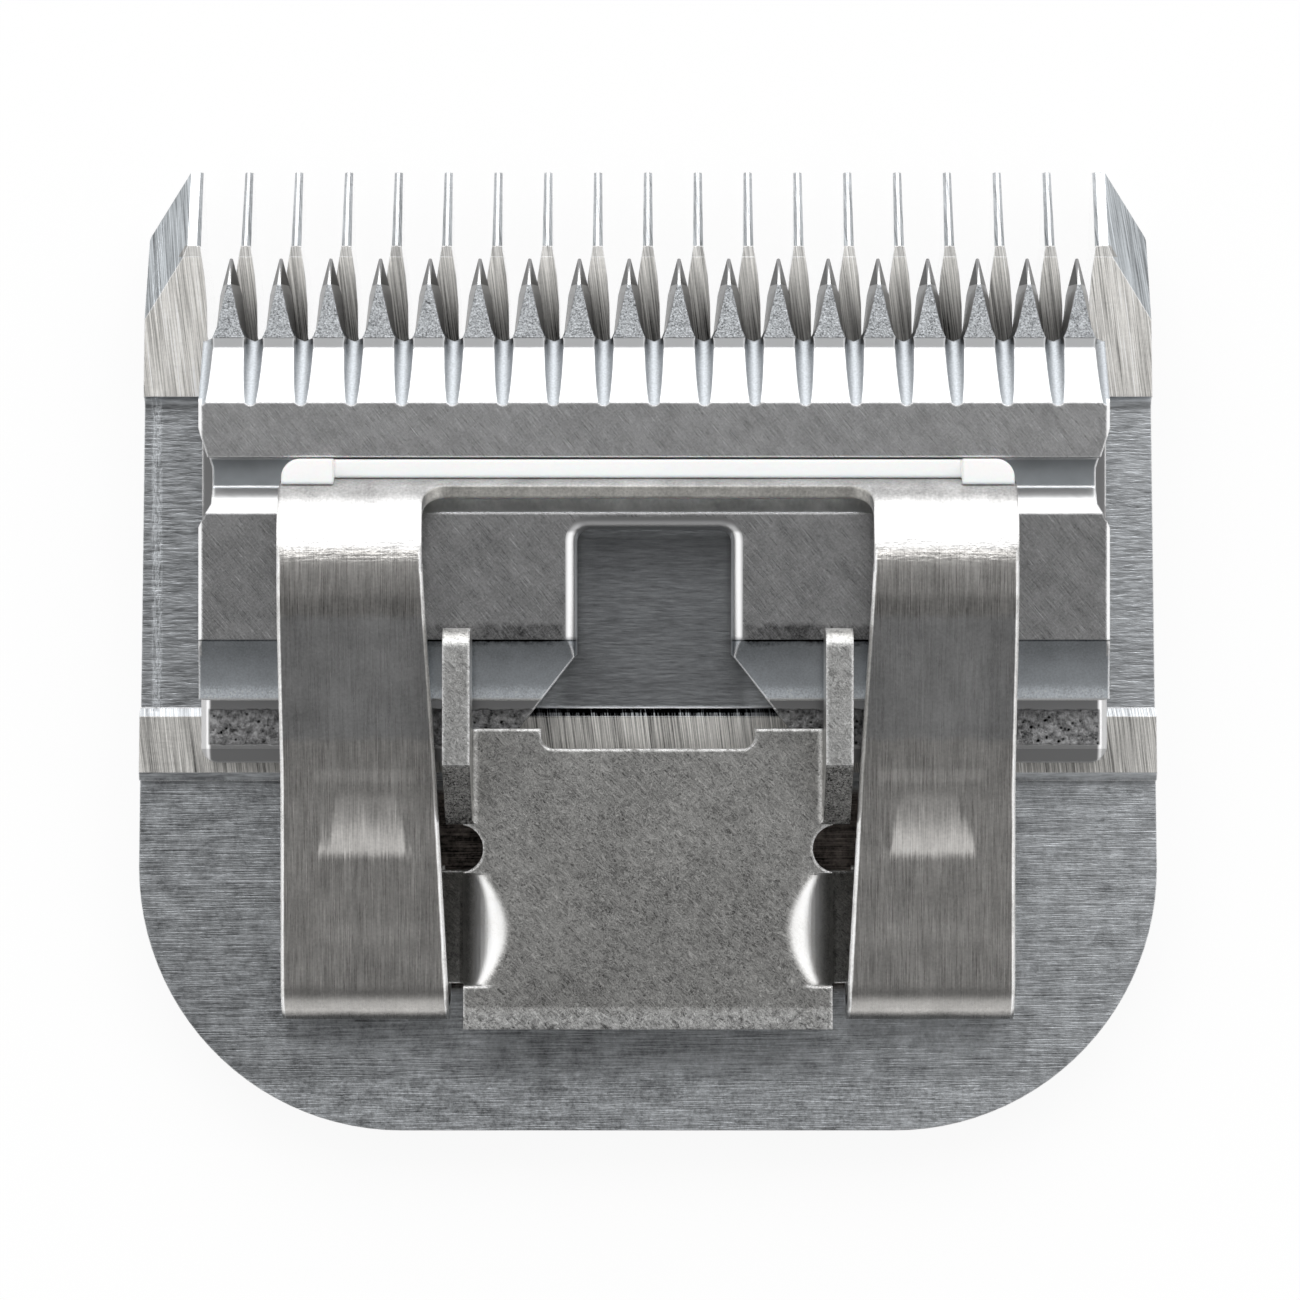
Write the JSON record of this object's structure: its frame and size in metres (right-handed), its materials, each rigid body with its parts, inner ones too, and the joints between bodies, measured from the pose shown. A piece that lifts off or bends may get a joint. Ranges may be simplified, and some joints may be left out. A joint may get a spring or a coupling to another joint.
{
  "type": "hair clipper blade",
  "caption": "Detachable hair clipper blade set: a toothed comb plate and a sliding toothed cutter, pressed together by a tension spring with a plastic guide, and a hinge socket.",
  "frame": {"origin": "middle of the comb's footprint, on its skin side", "axes": "+X across the blade, +Y from the rear edge to the tooth tips, +Z from the skin side up towards the clipper"},
  "size_m": [0.05, 0.0472, 0.0105],
  "materials": {
    "comb_steel": "surface ground, with fine parallel machining lines",
    "cutter_steel": "ground flats with fine slanting scratches, polished bevel",
    "spring_steel": "rolled strip, fine lengthwise brushing",
    "white_plastic": "moulded, smooth satin",
    "socket_steel": "tumbled, fine scratches in every direction",
    "screw_steel": "plated and dull"
  },
  "bodies": {
    "base": {"comb": "comb_steel", "tension_spring": "spring_steel", "spring_guide": "white_plastic", "hinge_socket": "socket_steel", "screw_left": "screw_steel", "screw_right": "screw_steel"},
    "cutter": {"cutter": "cutter_steel"}
  },
  "joints": [
    {"name": "cutter_slide", "type": "slide", "parent": "base", "child": "cutter", "axis": [1, 0, 0], "range_m": [-0.0019, 0.0013]}
  ]
}
